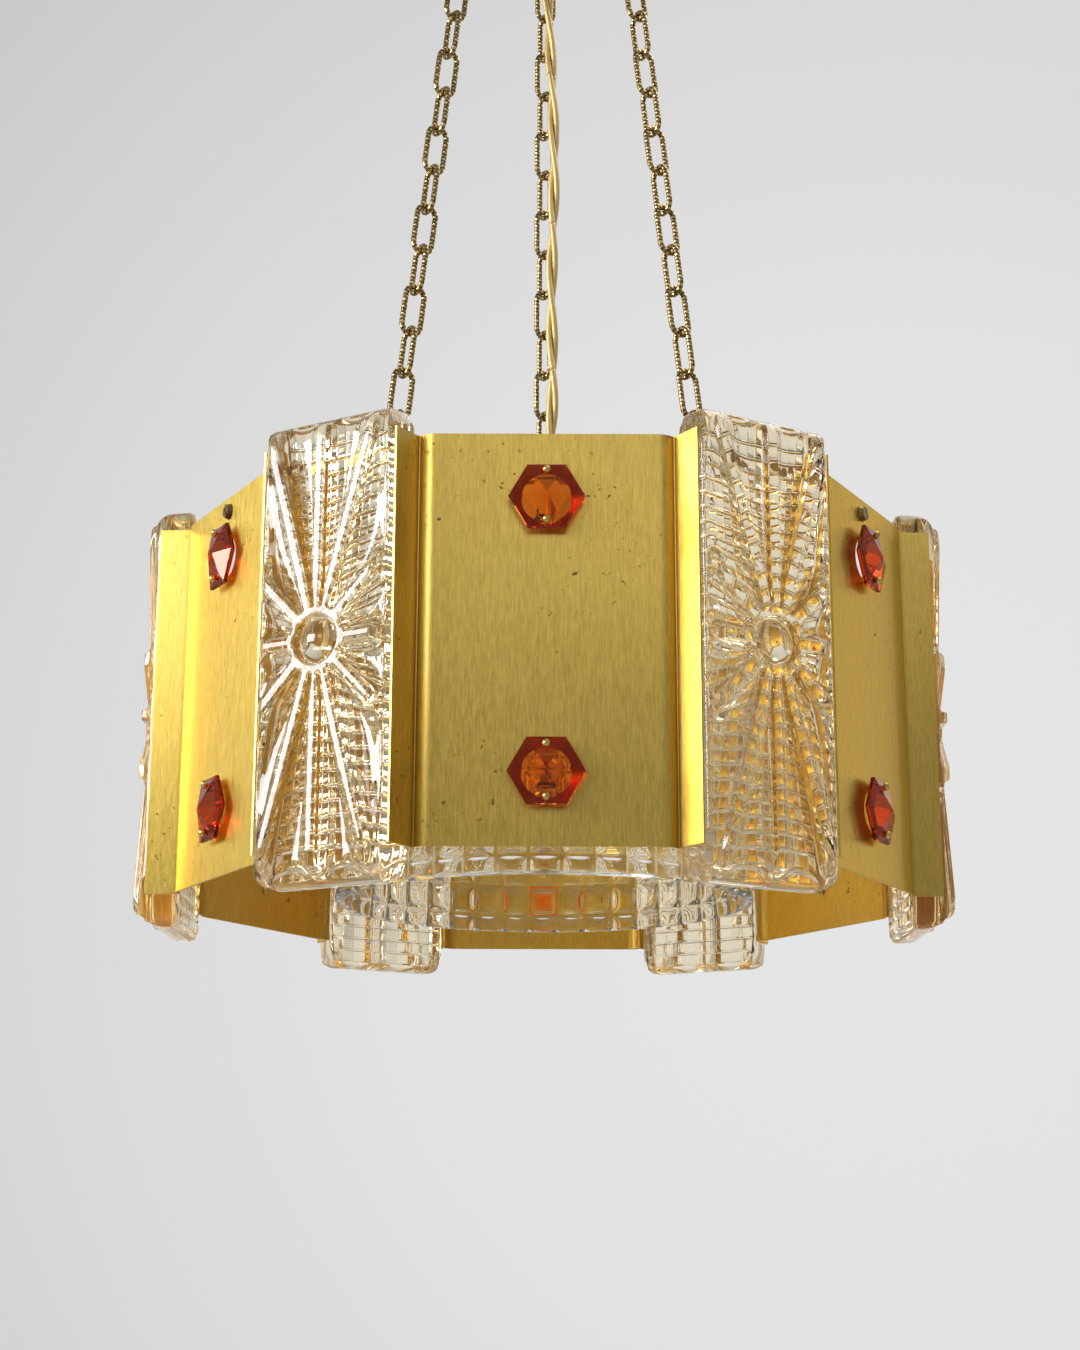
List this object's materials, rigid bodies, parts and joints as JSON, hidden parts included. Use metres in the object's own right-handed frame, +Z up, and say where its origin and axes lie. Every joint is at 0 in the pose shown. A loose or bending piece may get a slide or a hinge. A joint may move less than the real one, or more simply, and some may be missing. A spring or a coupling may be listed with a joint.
{
  "type": "sanctuary lamp",
  "caption": "Six-sided hanging lamp of brushed brass panels, pressed-glass slabs and amber crystals on three chains from a ceiling canopy.",
  "frame": {"origin": "centre of the ceiling bracket's two screw holes, in the ceiling plane", "axes": "+Z up into the ceiling along the lamp's axis; the front panel faces -Y"},
  "size_m": [0.3832, 0.3574, 0.5964],
  "materials": {
    "brass": "satin, lightly tarnished",
    "panel_brass": "brushed upright, with dark specks of tarnish",
    "old_brass": "antique, worn bright on the high spots",
    "pressed_glass": "pressed relief, pale champagne",
    "clear_glass": "pressed relief, clear",
    "amber": "polished facets",
    "bulb_glass": "clear",
    "filament": "satin",
    "steel": "zinc-plated",
    "porcelain": "glazed",
    "flex": "braided silk over two twisted cores"
  },
  "bodies": {
    "canopy": {"ceiling_bracket": "steel", "canopy_cup": "brass", "canopy_screws": "old_brass", "canopy_hooks": "old_brass", "hook_nuts": "brass", "cord_gland": "brass", "gland_nut": "brass", "terminal_block": "porcelain", "terminal_screws": "steel"},
    "top_link_rear": {"top_link_rear": "old_brass"},
    "chain_rear": {"chain_rear": "old_brass", "lamp_cord": "flex"},
    "bottom_link_rear": {"bottom_link_rear": "old_brass"},
    "top_link_left": {"top_link_left": "old_brass"},
    "chain_left": {"chain_left": "old_brass"},
    "bottom_link_left": {"bottom_link_left": "old_brass"},
    "top_link_right": {"top_link_right": "old_brass"},
    "chain_right": {"chain_right": "old_brass"},
    "bottom_link_right": {"bottom_link_right": "old_brass"},
    "drum": {"panel_front": "panel_brass", "panel_front_right": "panel_brass", "panel_rear_right": "panel_brass", "panel_rear": "panel_brass", "panel_rear_left": "panel_brass", "panel_front_left": "panel_brass", "slab_front_right": "pressed_glass", "slab_right": "pressed_glass", "slab_rear_right": "pressed_glass", "slab_rear_left": "pressed_glass", "slab_left": "pressed_glass", "slab_front_left": "pressed_glass", "crystal_front_low": "amber", "crystal_front_high": "amber", "crystal_front_right_low": "amber", "crystal_front_right_high": "amber", "crystal_rear_right_low": "amber", "crystal_rear_right_high": "amber", "crystal_rear_low": "amber", "crystal_rear_high": "amber", "crystal_rear_left_low": "amber", "crystal_rear_left_high": "amber", "crystal_front_left_low": "amber", "crystal_front_left_high": "amber", "crystal_pins": "brass", "panel_screws": "old_brass", "frame_ring": "brass", "spider": "brass", "chain_eyes": "old_brass", "eye_nuts": "brass", "nipple": "brass", "hub_nut": "brass", "cord_grip": "brass", "holder_cap": "porcelain", "holder_shell": "porcelain", "holder_insulator": "porcelain", "shade_ring": "porcelain", "glass_shade": "clear_glass", "bulb_cap": "steel", "bulb_glass": "bulb_glass", "bulb_stem": "filament"}
  },
  "joints": [
    {"name": "fore_aft_rear", "type": "hinge", "parent": "canopy", "child": "top_link_rear", "pos_m": [0, 0.04635, -0.0623], "axis": [1, 0, 0], "range_deg": [-7, 7], "deforming": ["lamp_cord"]},
    {"name": "side_rear", "type": "hinge", "parent": "top_link_rear", "child": "chain_rear", "pos_m": [0, 0.04906, -0.08438], "axis": [0, 1, 0], "range_deg": [-7, 7]},
    {"name": "level_rear", "type": "hinge", "parent": "chain_rear", "child": "bottom_link_rear", "pos_m": [0, 0.08471, -0.3747], "axis": [1, 0, 0], "range_deg": [-5, 5]},
    {"name": "fore_aft_left", "type": "hinge", "parent": "canopy", "child": "top_link_left", "pos_m": [-0.04014, -0.02318, -0.0623], "axis": [1, 0, 0], "range_deg": [-7, 7]},
    {"name": "side_left", "type": "hinge", "parent": "top_link_left", "child": "chain_left", "pos_m": [-0.04249, -0.02453, -0.08438], "axis": [0, 1, 0], "range_deg": [-7, 7]},
    {"name": "level_left", "type": "hinge", "parent": "chain_left", "child": "bottom_link_left", "pos_m": [-0.07336, -0.04235, -0.3747], "axis": [1, 0, 0], "range_deg": [-5, 5]},
    {"name": "fore_aft_right", "type": "hinge", "parent": "canopy", "child": "top_link_right", "pos_m": [0.04014, -0.02318, -0.0623], "axis": [1, 0, 0], "range_deg": [-7, 7]},
    {"name": "side_right", "type": "hinge", "parent": "top_link_right", "child": "chain_right", "pos_m": [0.04249, -0.02453, -0.08438], "axis": [0, 1, 0], "range_deg": [-7, 7]},
    {"name": "level_right", "type": "hinge", "parent": "chain_right", "child": "bottom_link_right", "pos_m": [0.07336, -0.04235, -0.3747], "axis": [1, 0, 0], "range_deg": [-5, 5]},
    {"name": "drum_level", "type": "hinge", "parent": "bottom_link_rear", "child": "drum", "pos_m": [0, 0.087, -0.39336], "axis": [0, 1, 0], "range_deg": [-5, 5]}
  ],
  "couplings": [
    {"joint": "level_rear", "follows": "fore_aft_rear", "ratio": -0.5472},
    {"joint": "fore_aft_left", "follows": "fore_aft_rear", "ratio": 1},
    {"joint": "side_left", "follows": "side_rear", "ratio": 1},
    {"joint": "level_left", "follows": "fore_aft_rear", "ratio": -0.5472},
    {"joint": "fore_aft_right", "follows": "fore_aft_rear", "ratio": 1},
    {"joint": "side_right", "follows": "side_rear", "ratio": 1},
    {"joint": "level_right", "follows": "fore_aft_rear", "ratio": -0.5472},
    {"joint": "drum_level", "follows": "side_rear", "ratio": -0.5639}
  ]
}
